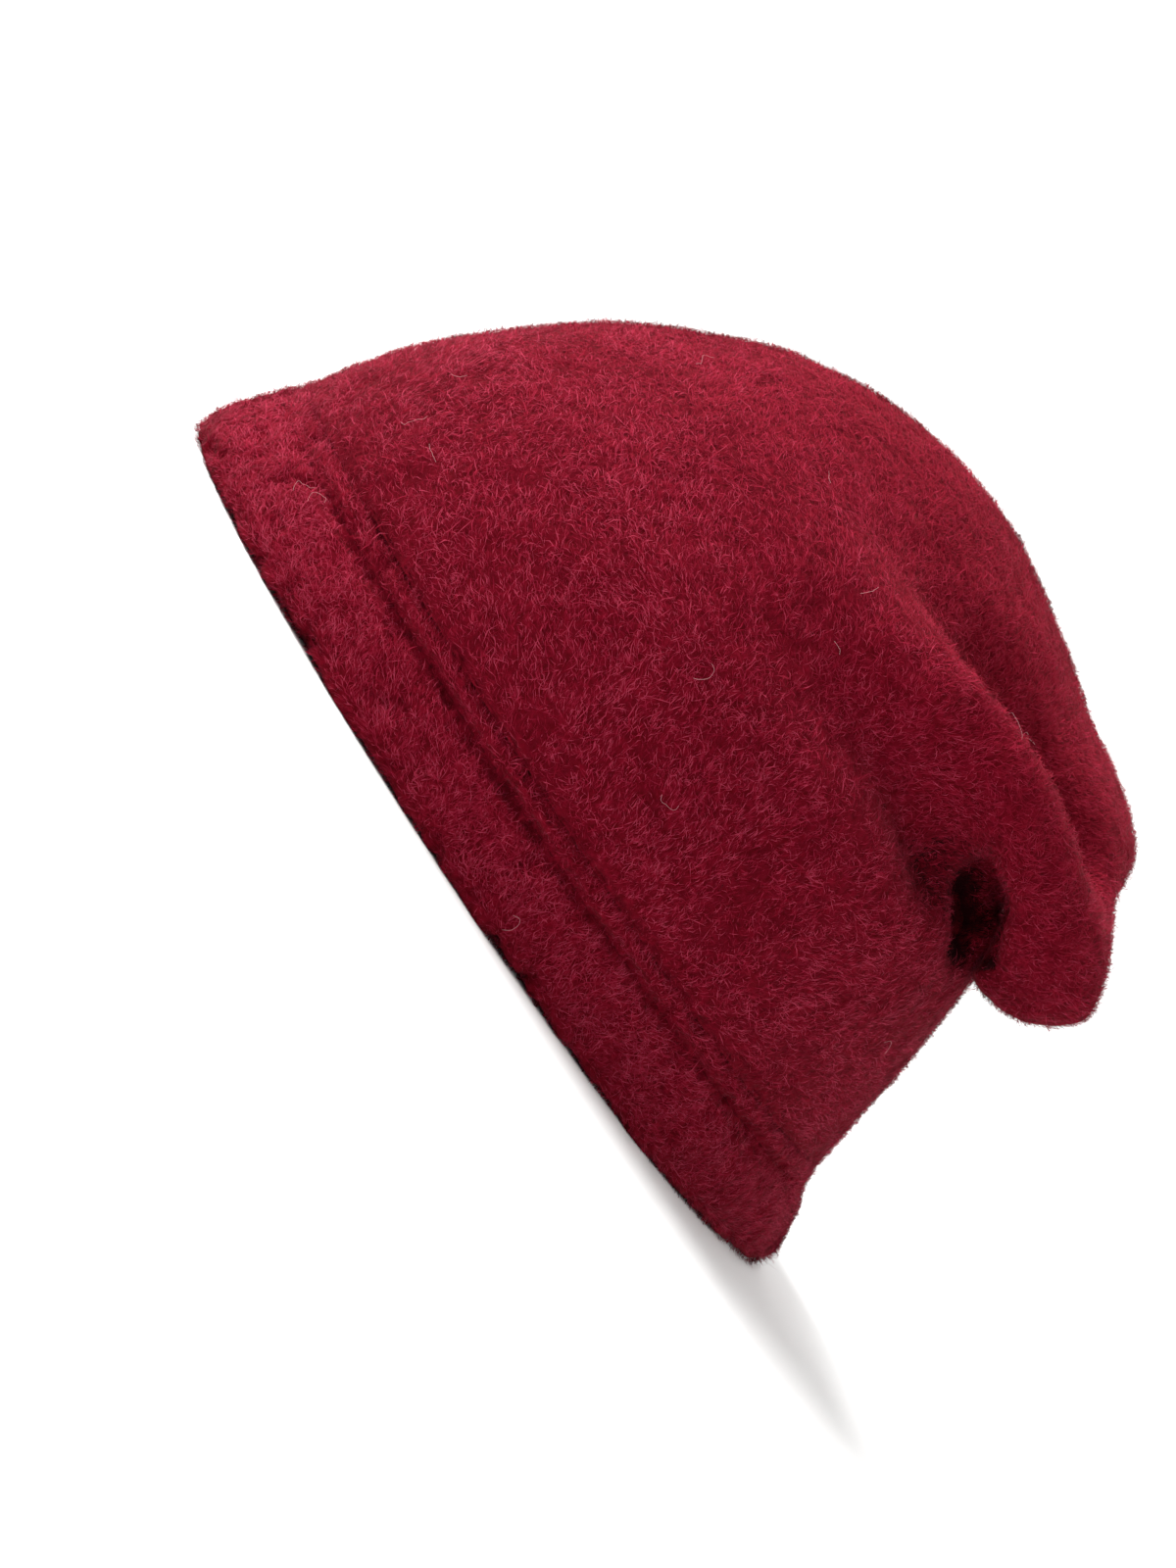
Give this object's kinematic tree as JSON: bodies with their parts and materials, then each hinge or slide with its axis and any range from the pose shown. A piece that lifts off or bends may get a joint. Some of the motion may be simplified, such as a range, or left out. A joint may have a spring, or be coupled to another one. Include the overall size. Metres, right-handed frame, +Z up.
{
  "type": "slouchy wool beanie",
  "caption": "Slouchy beanie of thick fuzzy wool: a hollow domed crown whose spare length flops over the back in soft lobes, on a turned-in, double-stitched hem",
  "frame": {"origin": "under the middle of the rim, in the plane that the rim rests on", "axes": "+Z up, -Y towards the front of the hat, +X towards the wearer's left"},
  "size_m": [0.163, 0.2354, 0.1416],
  "materials": {
    "wool": "matte, short dense fuzzy nap"
  },
  "bodies": {
    "root": {"crown": "wool", "hem": "wool"}
  },
  "joints": []
}
